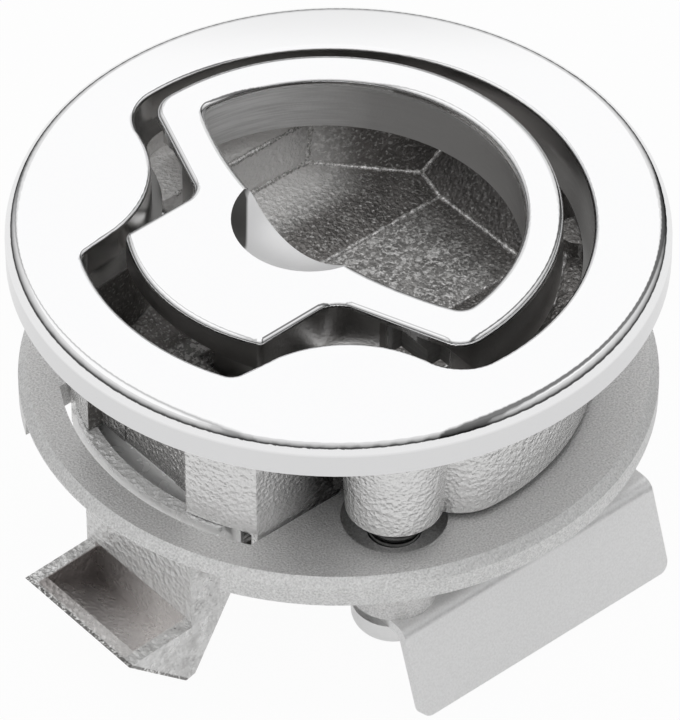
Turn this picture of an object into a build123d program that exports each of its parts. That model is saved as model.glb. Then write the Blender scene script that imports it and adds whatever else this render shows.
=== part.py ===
from build123d import *
import math
import os

os.makedirs("parts", exist_ok=True)

# Flush pull slam latch for a boat's locker lid, in millimetres.
# The origin is on the latch's axis, in the plane of the flange's underside, where it seats on the panel.
# +Z points out of the panel, +X towards the handle's finger loop, and the slam bolt points towards -X.

# Clearances
slide_gap = 0.3
running_gap = 0.05
screw_gap = 0.15
rest_gap = 0.3

# Face flange, a standard two and a half inch face
flange_radius = 31.75
rim_height = 2.4
rim_round_width = 1.5
rim_round_height = 1.95
crown_rise = 0.4

# Recess in the face that the handle lies in
recess_radius = 25.15
recess_centre_x = -1.1
recess_tail_radius = 25.0
recess_edge_round = 0.45
recess_tail_round = 1.6
shoulder_angle = 93.0
shoulder_end = (-7.1, 21.3)
waist_end = (-17.4, 11.75)
recess_draw_in = 1.0
tail_wall_x = -21.8
tail_wall_slope = 1.5
tail_wall_slope_depth = 4.5

# Finger cup below the recess, with flat facets for its floor and a shelf under the loop
cup_depth = 8.5
cup_floor_half_width = 6.5
cup_floor_end_x = 18.7
cup_side_wall_y = 17.3
cup_side_wall_draft = 0.5
side_facet_depth = 6.6
corner_facet_angle = 51.0
corner_facet_reach = 19.4
corner_facet_top_reach = 21.2
shelf_depth = 2.0
cup_floor_wall = 2.0

# Skirt that passes through the panel
skirt_grow = 0.4
skirt_depth = 13.9
skirt_wall = 1.6
tail_housing_radius = 26.2
tail_housing_overlap = 2.0
window_half_width = 7.3
window_depth = 1.0
window_slope_height = 4.4
window_wall = 1.7
rest_pad_angle = 32.0
rest_pad_radius = 2.0

# Handle
handle_loop_radius = 22.85
handle_centre_x = -2.0
handle_tail_radius = 18.8
handle_tail_half_width = 10.0
handle_tail_line_start = (-9.0, 10.0)
handle_tail_line_round = 2.5
handle_tail_corner_round = 0.8
handle_shoulder = (-4.25, 22.75)
handle_shoulder_round = 3.0
handle_top = 5.8
handle_tilt = 1.3
handle_edge_round = 0.7
finger_hole_radius = 19.2
finger_hole_corner = (-0.9, 19.17)
finger_hole_left_x = -5.6
finger_hole_corner_round = 1.5
scoop_radius = 12.0
scoop_centre = (-3.6, 0.0)
scoop_depth = 2.8
tail_relief = 2.6

# Relief under the handle's shoulders, which swing down past the recess's edge
shoulder_reliefs = ((14.5, -4.6), (18.2, -3.0))
shoulder_relief_start_x = -10.0
shoulder_relief_wall_top = 2.0
shoulder_relief_slope = 1.8
shoulder_lip = 1.2

# Handle hinge and the finger below it that draws the bolt back
pivot_x = -9.5
pivot_z = -1.5
pin_radius = 1.25
barrel_radius = 2.9
barrel_half_width = 4.4
cheek_inner_y = 9.0
barrel_root_z = 1.0
lift_angle = 28.0
drive_arm = 14.5
drive_tip_radius = 1.5
drive_half_width = 3.0
drive_neck = 1.0
drive_root_inset = (0.4, 0.9)
drive_slot_length = 9.4
drive_slot_gap = 1.0
slot_gap = 0.25
pin_near_end_y = -20.0
pin_chamfer = 0.3

# Handle springs
torsion_wire_radius = 0.45
torsion_coil_radius = 2.1
torsion_turns = 3
torsion_leg = 3.5
torsion_relief = 3.3
torsion_start_gap = 0.6
torsion_coil_gap = 0.2

# Slam bolt
bolt_top = -14.0
bolt_plate_thickness = 3.6
bolt_half_width = 11.6
bolt_rib_half_width = 12.9
bolt_rib_drop = 1.0
bolt_rib_height = 1.6
bolt_rib_setback = 2.0
bolt_back_x = 4.0
shield_radius = 26.6
shield_wall = 1.4
shield_half_width = 11.0
shield_depth = 5.6
bolt_front_x = -25.3
bolt_tip = (-33.0, -29.2)
bolt_nose = (-26.1, -35.5)
bolt_heel = (-25.0, -35.2)
bolt_back_slope = 60.0
tongue_half_width = 8.0
tongue_rim = 1.4
tongue_lip = 0.4
pocket_top = 1.0
pocket_floor = 2.6
pocket_floor_rise = 0.6
bolt_wall = 2.0
hollow_floor = 4.0
hollow_back = (6.0, 14.0)
shield_rim = 0.8
shield_hollow_depth = 1.6

# Bolt springs and their guide rods
bolt_spring_y = 4.2
bolt_spring_z = -20.8
bolt_spring_radius = 2.2
bolt_spring_wire = 0.4
bolt_spring_turns = 9
spring_bore_radius = 2.9
spring_bore_floor_x = -22.5
guide_rod_radius = 1.2
guide_rod_length = 16.0
guide_rod_chamfer = 0.3
spring_end_gap = 0.05

# Rails that guide the bolt
rail_inner = bolt_half_width + slide_gap
rail_outer = 14.1
rail_depth = 19.5
rail_start_x = -22.0
back_wall_x = 12.5
back_wall_thickness = 2.0
back_wall_depth = 24.5
back_wall_half_width = 9.0

# Clamp screws, their bosses and the backing ring
screw_x = -10.2
screw_y = 20.1
boss_radius = 4.7
boss_root_radius = 5.4
boss_depth = 12.7
screw_radius = 2.5
screw_tip_z = -5.0
head_radius = 4.1
head_height = 2.9
head_round = 1.6
screw_point_chamfer = 0.5
screw_hole_room = 0.5
washer_margin = 0.3
recess_cross_width = 1.2
recess_cross_length = 4.6
recess_cross_depth = 1.5
ring_radius = 31.1
ring_top = -14.4
ring_thickness = 2.9
ring_edge_chamfer = 0.9
ring_hole_radius = 27.2
ring_hole_end_x = 16.2
ring_thin = 1.1
ring_thin_half_width = 13.6
ring_notch_radius = 1.3
counterbore_radius = 5.1
counterbore_depth = 1.7
foot_radius = 4.2
foot_bottom = -24.2

# Strike bracket under the head of one clamp screw
bracket_thickness = 1.0
bracket_start_margin = 3.0
bracket_end_margin = 3.8
bracket_bend_y = -25.0
bracket_inner_y = -15.2
bracket_lean = 18.0
bracket_leg = 10.1
bracket_corner = 1.2
bracket_hole_spacing = 25.0
bend_radius = 0.4

# Values worked out from the sizes above
shoulder_height = rim_height + rim_round_height
crown_height = shoulder_height + crown_rise
cutter_reach = flange_radius + 10
cup_underside = -(cup_depth + cup_floor_wall)
half_lift = lift_angle / 2
drive_tip_x = pivot_x - drive_arm * math.sin(math.radians(half_lift))
drive_tip_z = pivot_z - drive_arm * math.cos(math.radians(half_lift))
bolt_travel = 2 * drive_arm * math.sin(math.radians(half_lift))
bolt_plate_bottom = bolt_top - bolt_plate_thickness
ring_bottom = ring_top - ring_thickness
tail_side_y = waist_end[1]
bracket_start_x = screw_x - bracket_start_margin
bracket_end_x = screw_x + bracket_hole_spacing + bracket_end_margin
bracket_top = foot_bottom
bracket_bottom = foot_bottom - bracket_thickness
head_top = bracket_bottom
far_boss_reach = screw_y + boss_root_radius


def polar(radius, angle):
    return (radius * math.cos(math.radians(angle)), radius * math.sin(math.radians(angle)))


def recess_face():
    # The recess is round at the loop's end, drawn in at two waists, and narrower at the tail.
    tail_corner_y = tail_side_y - 0.5
    tail_corner = (-math.sqrt(recess_tail_radius**2 - tail_corner_y**2), tail_corner_y)
    with BuildSketch() as face:
        with BuildLine():
            loop_arc = CenterArc((recess_centre_x, 0), recess_radius, 0, shoulder_angle)
            shoulder = TangentArc(loop_arc @ 1, shoulder_end, tangent=loop_arc % 1)
            waist = TangentArc(shoulder @ 1, waist_end, tangent=shoulder % 1)
            Line(waist @ 1, tail_corner)
            ThreePointArc(
                tail_corner,
                (-math.sqrt(recess_tail_radius**2 - tail_corner_y**2 / 4), tail_corner_y / 2),
                (-recess_tail_radius, 0),
            )
            mirror(about=Plane.XZ)
        make_face()
        fillet(near_corners(face, *tail_corner), radius=recess_tail_round)
    return face.sketch


def near_corners(face, x, y):
    # Both corners of a symmetric outline that lie at this x and at plus or minus this y.
    return [corner for corner in face.vertices() if math.dist((corner.X, abs(corner.Y)), (x, y)) < 0.4]


def handle_face():
    tail_corner = (
        -math.sqrt(handle_tail_radius**2 - handle_tail_half_width**2) + handle_centre_x,
        handle_tail_half_width,
    )
    with BuildSketch() as face:
        with BuildLine():
            ThreePointArc(
                (handle_centre_x + handle_loop_radius, 0),
                (
                    handle_centre_x + handle_loop_radius * math.cos(math.radians(45)),
                    handle_loop_radius * math.sin(math.radians(45)),
                ),
                handle_shoulder,
            )
            Line(handle_shoulder, handle_tail_line_start)
            Line(handle_tail_line_start, tail_corner)
            ThreePointArc(
                tail_corner,
                (
                    handle_centre_x - math.sqrt(handle_tail_radius**2 - handle_tail_half_width**2 / 4),
                    handle_tail_half_width / 2,
                ),
                (handle_centre_x - handle_tail_radius, 0),
            )
            mirror(about=Plane.XZ)
        make_face()
        fillet(near_corners(face, *handle_shoulder), radius=handle_shoulder_round)
        fillet(near_corners(face, *handle_tail_line_start), radius=handle_tail_line_round)
        fillet(near_corners(face, *tail_corner), radius=handle_tail_corner_round)
    return face.sketch


def finger_hole_face():
    with BuildSketch() as face:
        with BuildLine():
            ThreePointArc(
                (finger_hole_corner[0], finger_hole_corner[1]),
                (handle_centre_x + finger_hole_radius, 0),
                (finger_hole_corner[0], -finger_hole_corner[1]),
            )
            ThreePointArc(
                (finger_hole_corner[0], -finger_hole_corner[1]),
                (finger_hole_left_x, 0),
                (finger_hole_corner[0], finger_hole_corner[1]),
            )
        make_face()
        fillet(face.vertices(), radius=finger_hole_corner_round)
    return face.sketch


# The cup's hollow, which is later taken out of the body
with BuildPart() as cup_hollow:
    with BuildSketch(Plane.XY):
        offset(recess_face(), amount=-recess_draw_in)
    extrude(amount=-cup_depth)
    with BuildSketch(Plane.YZ):
        with BuildLine():
            Polyline((0, 1), (cutter_reach, 1), (cutter_reach, -shelf_depth))
            Polyline(
                (cutter_reach, -shelf_depth),
                (cup_side_wall_y + cup_side_wall_draft, -shelf_depth),
                (cup_side_wall_y, -side_facet_depth),
                (cup_floor_half_width, -cup_depth),
                (0, -cup_depth),
            )
            mirror(about=Plane.YZ)
        make_face()
    extrude(amount=cutter_reach, both=True, mode=Mode.INTERSECT)
    with BuildSketch(Plane.XZ):
        with BuildLine():
            Polyline(
                (-recess_tail_radius, 1),
                (-recess_tail_radius + recess_draw_in, 0),
                (tail_wall_x - tail_wall_slope, -shelf_depth),
                (tail_wall_x, -tail_wall_slope_depth),
                (tail_wall_x, -cup_depth),
                (cup_floor_end_x, -cup_depth),
                (recess_centre_x + recess_radius, -shelf_depth),
                (recess_centre_x + recess_radius, 1),
                close=True,
            )
        make_face()
    extrude(amount=cutter_reach, both=True, mode=Mode.INTERSECT)
    for side in (-1, 1):
        facet_plane = Plane(
            origin=(0, 0, 0),
            x_dir=(*polar(1, side * corner_facet_angle), 0),
            z_dir=(*polar(1, side * corner_facet_angle - 90), 0),
        )
        with BuildSketch(facet_plane):
            with BuildLine():
                Polyline(
                    (corner_facet_reach, -cup_depth - 1),
                    (corner_facet_top_reach, -shelf_depth),
                    (cutter_reach, -shelf_depth),
                    (cutter_reach, -cup_depth - 1),
                    close=True,
                )
            make_face()
        extrude(amount=recess_radius, both=True, mode=Mode.SUBTRACT)

with BuildPart() as latch_body:
    # Face flange with a low crown and a rounded rim
    with BuildSketch(Plane.XZ):
        with BuildLine():
            Line((0, 0), (flange_radius, 0))
            Line((flange_radius, 0), (flange_radius, rim_height))
            EllipticalCenterArc(
                (flange_radius - rim_round_width, rim_height),
                rim_round_width,
                rim_round_height,
                start_angle=0,
                arc_size=90,
            )
            ThreePointArc(
                (flange_radius - rim_round_width, shoulder_height),
                ((flange_radius - rim_round_width) / 2, shoulder_height + 0.75 * crown_rise),
                (0, crown_height),
            )
            Line((0, crown_height), (0, 0))
        make_face()
    revolve(axis=Axis.Z)
    # Recess for the handle, with a softened edge
    with BuildSketch(Plane.XY):
        add(recess_face())
    extrude(amount=crown_height + 1, mode=Mode.SUBTRACT)
    crown_edges = latch_body.faces().sort_by(Axis.Z)[-1].edges()
    recess_edges = [
        edge for edge in crown_edges
        if all(math.hypot(end.X, end.Y) < flange_radius - rim_round_width - 1 for end in edge.vertices())
    ]
    fillet(recess_edges, radius=recess_edge_round)
    # Skirt round the cup, and the squarer housing round the tail
    with BuildSketch(Plane.XY):
        offset(recess_face(), amount=skirt_grow)
    extrude(amount=-skirt_depth)
    with BuildSketch(Plane.XY):
        Circle(tail_housing_radius)
        with Locations((-tail_housing_radius, 0)):
            Rectangle(
                2 * (tail_housing_radius + waist_end[0] + tail_housing_overlap),
                2 * rail_outer,
                mode=Mode.INTERSECT,
            )
    extrude(amount=-skirt_depth)
    # Tapered bosses for the clamp screws
    for side in (-1, 1):
        with BuildSketch(Plane.XY):
            with Locations((screw_x, side * screw_y)):
                Circle(boss_root_radius)
        with BuildSketch(Plane.XY.offset(-boss_depth)):
            with Locations((screw_x, side * screw_y)):
                Circle(boss_radius)
        loft()
    # The underside is cored out below the cup's floor
    with BuildSketch(Plane.XY.offset(-skirt_depth)):
        offset(recess_face(), amount=skirt_grow - skirt_wall)
    extrude(amount=skirt_depth + cup_underside, mode=Mode.SUBTRACT)
    for side in (-1, 1):
        with BuildSketch(Plane.XY):
            with Locations((screw_x, side * screw_y)):
                Circle(boss_radius)
        extrude(amount=-boss_depth)
    # Rails with a groove for the bolt's ribs
    with BuildSketch(Plane.YZ.offset(rail_start_x)):
        for side in (-1, 1):
            with Locations((side * (rail_inner + rail_outer) / 2, (cup_underside - rail_depth) / 2)):
                Rectangle(rail_outer - rail_inner, rail_depth + cup_underside)
        with Locations((0, bolt_top - bolt_rib_drop - bolt_rib_height / 2)):
            Rectangle(
                2 * (bolt_rib_half_width + slide_gap),
                bolt_rib_height + 2 * slide_gap,
                mode=Mode.SUBTRACT,
            )
    extrude(amount=back_wall_x - rail_start_x)
    # Back wall that the bolt's springs push against
    with BuildSketch(Plane.YZ.offset(back_wall_x)):
        with Locations((0, (cup_underside - rail_depth) / 2)):
            Rectangle(2 * rail_outer, rail_depth + cup_underside)
        with Locations((0, (cup_underside - back_wall_depth) / 2)):
            Rectangle(2 * back_wall_half_width, back_wall_depth + cup_underside)
    extrude(amount=back_wall_thickness)
    # The cup below the recess, and the way through its floor for the handle's drive finger
    add(cup_hollow.part, mode=Mode.SUBTRACT)
    with BuildSketch(Plane.XY):
        with Locations((pivot_x, 0)):
            Rectangle(drive_slot_length, 2 * (drive_half_width + drive_slot_gap))
    extrude(amount=cup_underside - 1, mode=Mode.SUBTRACT)
    # Window below the flange at the tail, where the housing is set back
    with BuildSketch(Plane.XZ):
        with BuildLine():
            Polyline(
                (-tail_housing_radius - 1, 0),
                (-tail_housing_radius + window_depth, 0),
                (tail_wall_x - window_wall, -window_slope_height),
                (tail_wall_x - window_wall, -skirt_depth - 1),
                (-tail_housing_radius - 1, -skirt_depth - 1),
                close=True,
            )
        make_face()
    extrude(amount=window_half_width, both=True, mode=Mode.SUBTRACT)
    # Pads that the loop rests over
    for side in (-1, 1):
        with BuildSketch(Plane.XY.offset(-rest_gap)):
            with Locations((recess_centre_x, 0)):
                with Locations(polar(recess_radius - recess_draw_in, side * rest_pad_angle)):
                    Circle(rest_pad_radius)
                Circle(recess_radius, mode=Mode.INTERSECT)
        extrude(amount=-shelf_depth)
    # Hinge pin bore, open on the far side and blind on the near side
    with BuildSketch(Plane.XZ.offset(-far_boss_reach)):
        with Locations((pivot_x, pivot_z)):
            Circle(pin_radius)
    extrude(amount=far_boss_reach - pin_near_end_y, mode=Mode.SUBTRACT)
    # Screw holes in the bosses
    for side in (-1, 1):
        with BuildSketch(Plane.XY.offset(-skirt_depth)):
            with Locations((screw_x, side * screw_y)):
                Circle(screw_radius + running_gap)
        extrude(amount=skirt_depth + screw_tip_z + screw_hole_room, mode=Mode.SUBTRACT)
    # Holes for the guide rods
    with BuildSketch(Plane.YZ.offset(back_wall_x)):
        with Locations((-bolt_spring_y, bolt_spring_z), (bolt_spring_y, bolt_spring_z)):
            Circle(guide_rod_radius)
    extrude(amount=back_wall_thickness, mode=Mode.SUBTRACT)

with BuildPart() as lift_handle:
    with BuildSketch(Plane.XY):
        add(handle_face())
        add(finger_hole_face(), mode=Mode.SUBTRACT)
    extrude(amount=handle_top + 3)
    tilt = math.radians(handle_tilt)
    split(bisect_by=Plane(origin=(0, 0, handle_top), z_dir=(-math.sin(tilt), 0, math.cos(tilt))), keep=Keep.BOTTOM)
    top_edges = lift_handle.faces().sort_by(Axis.Z)[-1].edges()
    fillet(top_edges, radius=handle_edge_round)
    # Thumb scoop that dips to the finger hole's edge
    with Locations((scoop_centre[0], scoop_centre[1], handle_top - scoop_depth + scoop_radius)):
        Sphere(scoop_radius, mode=Mode.SUBTRACT)
    # The tail and the shoulders are relieved below so that they swing clear
    with BuildSketch(Plane.XZ):
        with BuildLine():
            Polyline(
                (handle_centre_x - handle_tail_radius - 1, -1),
                (handle_centre_x - handle_tail_radius - 1, tail_relief + 0.2),
                (pivot_x - barrel_radius, -0.01),
                (pivot_x - barrel_radius, -1),
                close=True,
            )
        make_face()
    extrude(amount=handle_tail_half_width + 1, both=True, mode=Mode.SUBTRACT)
    for side in (-1, 1):
        for relief_y, relief_x in shoulder_reliefs:
            with BuildSketch(Plane.XZ.offset(-side * relief_y)):
                with BuildLine():
                    Polyline(
                        (shoulder_relief_start_x, -1),
                        (shoulder_relief_start_x, handle_top - shoulder_lip),
                        (relief_x - shoulder_relief_slope, handle_top - shoulder_lip),
                        (relief_x, shoulder_relief_wall_top),
                        (relief_x, -1),
                        close=True,
                    )
                make_face()
            extrude(amount=-side * handle_loop_radius, mode=Mode.SUBTRACT)
    # Hinge barrel in the middle and a cheek at each side, with room for the hinge springs between them
    with BuildSketch(Plane.XZ):
        with Locations((pivot_x, pivot_z)):
            Circle(barrel_radius)
        with Locations((pivot_x, (pivot_z + barrel_root_z) / 2)):
            Rectangle(2 * barrel_radius, barrel_root_z - pivot_z)
    extrude(amount=handle_tail_half_width, both=True)
    for side in (-1, 1):
        with BuildSketch(Plane.XZ.offset(-side * barrel_half_width)):
            with Locations((pivot_x, pivot_z)):
                Circle(torsion_relief)
        extrude(amount=-side * (cheek_inner_y - barrel_half_width), mode=Mode.SUBTRACT)
    with BuildSketch(Plane.XZ):
        with BuildLine():
            left_root = (pivot_x - barrel_radius + drive_root_inset[0], pivot_z)
            right_root = (pivot_x + barrel_radius - drive_root_inset[1], pivot_z)
            Line(left_root, right_root)
            Line(right_root, (drive_tip_x + drive_neck, drive_tip_z))
            Line((drive_tip_x + drive_neck, drive_tip_z), (drive_tip_x - drive_neck, drive_tip_z))
            Line((drive_tip_x - drive_neck, drive_tip_z), left_root)
        make_face()
        with Locations((drive_tip_x, drive_tip_z)):
            Circle(drive_tip_radius)
    extrude(amount=drive_half_width, both=True)
    with BuildSketch(Plane.XZ):
        with Locations((pivot_x, pivot_z)):
            Circle(pin_radius + running_gap)
    extrude(amount=handle_tail_half_width + 1, both=True, mode=Mode.SUBTRACT)

with BuildPart() as handle_pivot_pin:
    with BuildSketch(Plane.XZ.offset(-screw_y - 3)):
        with Locations((pivot_x, pivot_z)):
            Circle(pin_radius)
    extrude(amount=screw_y + 3 - pin_near_end_y)
    chamfer(handle_pivot_pin.edges().filter_by(GeomType.CIRCLE), length=pin_chamfer)

with BuildPart() as slam_bolt:
    # Slide plate with ribs that run in the rails
    with BuildSketch(Plane.XY.offset(bolt_top)):
        with BuildLine():
            Line((bolt_back_x, -bolt_half_width), (bolt_back_x, bolt_half_width))
            Line((bolt_back_x, bolt_half_width), (rail_start_x, bolt_half_width))
            Line((rail_start_x, bolt_half_width), (rail_start_x, -bolt_half_width))
            Line((rail_start_x, -bolt_half_width), (bolt_back_x, -bolt_half_width))
        make_face()
    extrude(amount=-bolt_plate_thickness)
    with BuildSketch(Plane.XY.offset(bolt_top - bolt_rib_drop)):
        with Locations(((bolt_back_x + rail_start_x + bolt_rib_setback) / 2, 0)):
            Rectangle(bolt_back_x - rail_start_x - bolt_rib_setback, 2 * bolt_rib_half_width)
    extrude(amount=-bolt_rib_height)
    # Curved shield that closes the way through the ring
    with BuildSketch(Plane.XY.offset(bolt_top)):
        Circle(shield_radius)
        with Locations((-shield_radius, 0)):
            Rectangle(2 * (shield_radius + rail_start_x) + 2, 2 * shield_half_width, mode=Mode.INTERSECT)
    extrude(amount=-shield_depth)
    with BuildSketch(Plane.XY.offset(bolt_top)):
        Circle(shield_radius - shield_wall)
        with Locations((-shield_radius, 0)):
            Rectangle(
                2 * (shield_radius + rail_start_x) - shield_rim,
                2 * (shield_half_width - shield_rim),
                mode=Mode.INTERSECT,
            )
    extrude(amount=-shield_hollow_depth, mode=Mode.SUBTRACT)
    # Web and tongue in side view
    slope = math.tan(math.radians(bolt_back_slope))
    web_back_x = bolt_heel[0] + (bolt_plate_bottom - bolt_heel[1]) / slope
    with BuildSketch(Plane.XZ):
        with BuildLine():
            Polyline(
                (bolt_front_x, bolt_plate_bottom),
                (bolt_front_x, bolt_tip[1] + tongue_lip),
                bolt_tip,
                bolt_nose,
                bolt_heel,
                (web_back_x, bolt_plate_bottom),
                close=True,
            )
        make_face()
    extrude(amount=tongue_half_width, both=True)
    # Open pocket in the tongue
    with BuildSketch(Plane.XZ):
        with BuildLine():
            Polyline(
                (bolt_tip[0] + tongue_rim, bolt_tip[1] + pocket_top),
                (bolt_front_x, bolt_tip[1] + pocket_top),
                (bolt_front_x, bolt_nose[1] + pocket_floor),
                (bolt_tip[0] + tongue_rim + tongue_lip, bolt_tip[1] - pocket_floor_rise),
                close=True,
            )
        make_face()
    extrude(amount=tongue_half_width - tongue_rim, both=True, mode=Mode.SUBTRACT)
    # Hollow between the side webs, open at the back
    hollow_top = bolt_spring_z - spring_bore_radius - bolt_wall
    with BuildSketch(Plane.XZ):
        with BuildLine():
            Polyline(
                (bolt_front_x + bolt_wall, hollow_top),
                (bolt_front_x + bolt_wall, bolt_heel[1] + hollow_floor),
                (bolt_heel[0] + hollow_back[0], bolt_heel[1] + hollow_floor),
                (bolt_heel[0] + hollow_back[1], hollow_top),
                close=True,
            )
        make_face()
    extrude(amount=tongue_half_width - bolt_wall, both=True, mode=Mode.SUBTRACT)
    # Bores for the springs, and the slot that the handle's drive finger pushes
    with BuildSketch(Plane.YZ.offset(spring_bore_floor_x)):
        with Locations((-bolt_spring_y, bolt_spring_z), (bolt_spring_y, bolt_spring_z)):
            Circle(spring_bore_radius)
    extrude(amount=20, mode=Mode.SUBTRACT)
    with BuildSketch(Plane.XY.offset(bolt_top)):
        with Locations((drive_tip_x, 0)):
            Rectangle(2 * (drive_tip_radius + slot_gap), 2 * (drive_half_width + 0.5))
    extrude(amount=-bolt_plate_thickness - 1, mode=Mode.SUBTRACT)

with BuildPart() as backing_ring:
    with BuildSketch(Plane.XY.offset(ring_bottom)):
        Circle(ring_radius)
    extrude(amount=ring_thickness)
    chamfer(backing_ring.edges().group_by(Axis.Z)[-1], length=ring_edge_chamfer)
    # Feet that carry the screw heads
    for side in (-1, 1):
        with BuildSketch(Plane.XY.offset(ring_bottom)):
            with Locations((screw_x, side * screw_y)):
                Circle(foot_radius + 0.6)
        with BuildSketch(Plane.XY.offset(foot_bottom)):
            with Locations((screw_x, side * screw_y)):
                Circle(foot_radius)
        loft()
    # Way through for the rails and the bolt
    with BuildSketch(Plane.XY.offset(ring_bottom)):
        Circle(ring_hole_radius)
        with Locations(((ring_hole_end_x - ring_radius) / 2, 0)):
            Rectangle(ring_hole_end_x + ring_radius, 2 * (rail_outer + slide_gap), mode=Mode.INTERSECT)
    extrude(amount=ring_thickness, mode=Mode.SUBTRACT)
    # The rim is thinner where the bolt comes out
    with BuildSketch(Plane.XY.offset(ring_bottom)):
        with Locations((-ring_radius, 0)):
            Rectangle(2 * (ring_radius + rail_start_x), 2 * ring_thin_half_width)
    extrude(amount=ring_thickness - ring_thin, mode=Mode.SUBTRACT)
    notch_x = -math.sqrt((ring_radius - 0.6) ** 2 - ring_thin_half_width**2)
    with BuildSketch(Plane.XY.offset(ring_bottom)):
        with Locations((notch_x, -ring_thin_half_width)):
            Circle(ring_notch_radius)
    extrude(amount=ring_thickness - ring_thin, mode=Mode.SUBTRACT)
    for side in (-1, 1):
        with BuildSketch(Plane.XY.offset(ring_top)):
            with Locations((screw_x, side * screw_y)):
                Circle(counterbore_radius)
        extrude(amount=-counterbore_depth, mode=Mode.SUBTRACT)
        with BuildSketch(Plane.XY.offset(ring_top)):
            with Locations((screw_x, side * screw_y)):
                Circle(screw_radius + screw_gap)
        extrude(amount=foot_bottom - ring_top, mode=Mode.SUBTRACT)


def clamp_screw(side):
    # Pan head screw, head down, with a cross recess.
    centre = (screw_x, side * screw_y)
    with BuildPart() as screw:
        with BuildSketch(Plane.XY.offset(head_top)):
            with Locations(centre):
                Circle(screw_radius)
        extrude(amount=screw_tip_z - head_top)
        chamfer(screw.edges().group_by(Axis.Z)[-1], length=screw_point_chamfer)
        with BuildSketch(Plane.XY.offset(head_top)):
            with Locations(centre):
                Circle(head_radius)
        extrude(amount=-head_height)
        fillet(screw.edges().group_by(Axis.Z)[0], radius=head_round)
        with BuildSketch(Plane.XY.offset(head_top - head_height)):
            with Locations(centre):
                Rectangle(recess_cross_length, recess_cross_width)
                Rectangle(recess_cross_width, recess_cross_length)
        extrude(amount=recess_cross_depth, mode=Mode.SUBTRACT)
    return screw.part


clamp_screw_front = clamp_screw(-1)
clamp_screw_rear = clamp_screw(1)

with BuildPart() as rear_washer:
    with BuildSketch(Plane.XY.offset(head_top)):
        with Locations((screw_x, screw_y)):
            Circle(head_radius + washer_margin)
            Circle(screw_radius + screw_gap, mode=Mode.SUBTRACT)
    extrude(amount=bracket_thickness)

with BuildPart() as strike_bracket:
    # Section of the folded sheet, drawn across its length
    lean = math.radians(bracket_lean)
    leg_end = (
        bracket_bend_y - bracket_leg * math.sin(lean),
        bracket_top - bracket_leg * math.cos(lean),
    )
    with BuildSketch(Plane.YZ.offset(bracket_start_x)):
        with BuildLine():
            FilletPolyline(
                (bracket_inner_y, bracket_top),
                (bracket_bend_y, bracket_top),
                leg_end,
                radius=bend_radius + bracket_thickness,
            )
            offset(amount=bracket_thickness, side=Side.LEFT)
        make_face()
    extrude(amount=bracket_end_x - bracket_start_x)
    with BuildSketch(Plane.XY.offset(bracket_bottom)):
        with Locations((screw_x, -screw_y), (screw_x + bracket_hole_spacing, -screw_y)):
            Circle(screw_radius + screw_gap)
    extrude(amount=bracket_thickness, mode=Mode.SUBTRACT)
    end_edges = strike_bracket.edges().group_by(Axis.X)
    corners = (end_edges[0] + end_edges[-1]).filter_by(GeomType.LINE)
    fillet([edge for edge in corners if edge.length < 1.05 * bracket_thickness], radius=bracket_corner)


def torsion_spring():
    # Three turns round the hinge pin, with one leg under the tail and one along the cup.
    start = (pivot_x, -barrel_half_width - torsion_start_gap, pivot_z)
    pitch = 2 * torsion_wire_radius + torsion_coil_gap
    with BuildPart() as spring:
        with BuildLine() as wire:
            coil = Helix(
                pitch=pitch,
                height=torsion_turns * pitch,
                radius=torsion_coil_radius,
                center=start,
                direction=(0, -1, 0),
            )
            Line(coil @ 0 - (coil % 0) * torsion_leg, coil @ 0)
            Line(coil @ 1, coil @ 1 + (coil % 1) * torsion_leg)
        path = wire.wire()
        with BuildSketch(Plane(origin=path @ 0, z_dir=path % 0)):
            Circle(torsion_wire_radius)
        sweep(path=path)
    return spring.part


handle_spring_right = torsion_spring()
handle_spring_left = mirror(handle_spring_right, about=Plane.XZ)


def bolt_spring(side):
    # Compression spring along X from the back wall to the floor of its bore in the bolt.
    length = back_wall_x - spring_bore_floor_x - 2 * bolt_spring_wire - 2 * spring_end_gap
    start = spring_bore_floor_x + bolt_spring_wire + spring_end_gap
    with BuildPart() as spring:
        with BuildLine():
            coil = Helix(
                pitch=length / bolt_spring_turns,
                height=length,
                radius=bolt_spring_radius,
                center=(start, side * bolt_spring_y, bolt_spring_z),
                direction=(1, 0, 0),
            )
        with BuildSketch(Plane(origin=coil @ 0, z_dir=coil % 0)):
            Circle(bolt_spring_wire)
        sweep(path=coil)
    return spring.part


def guide_rod(side):
    with BuildPart() as rod:
        with BuildSketch(Plane.YZ.offset(back_wall_x + back_wall_thickness)):
            with Locations((side * bolt_spring_y, bolt_spring_z)):
                Circle(guide_rod_radius)
        extrude(amount=-back_wall_thickness - guide_rod_length)
        chamfer(rod.edges().group_by(Axis.X)[0], length=guide_rod_chamfer)
    return rod.part


parts = {
    "latch_body": latch_body.part,
    "lift_handle": lift_handle.part,
    "handle_pivot_pin": handle_pivot_pin.part,
    "handle_spring_left": handle_spring_left,
    "handle_spring_right": handle_spring_right,
    "slam_bolt": slam_bolt.part,
    "bolt_spring_left": bolt_spring(1),
    "bolt_spring_right": bolt_spring(-1),
    "guide_rod_left": guide_rod(1),
    "guide_rod_right": guide_rod(-1),
    "backing_ring": backing_ring.part,
    "clamp_screw_front": clamp_screw_front,
    "clamp_screw_rear": clamp_screw_rear,
    "rear_washer": rear_washer.part,
    "strike_bracket": strike_bracket.part,
}
for node, part in parts.items():
    part.label = node
    export_step(part, f"parts/{node}.step")
print("bolt travel", round(bolt_travel, 4), "ratio mm per rad", round(bolt_travel / math.radians(lift_angle), 5))
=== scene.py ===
import math

import bmesh
import bpy
from mathutils import Matrix, Vector, noise


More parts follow.
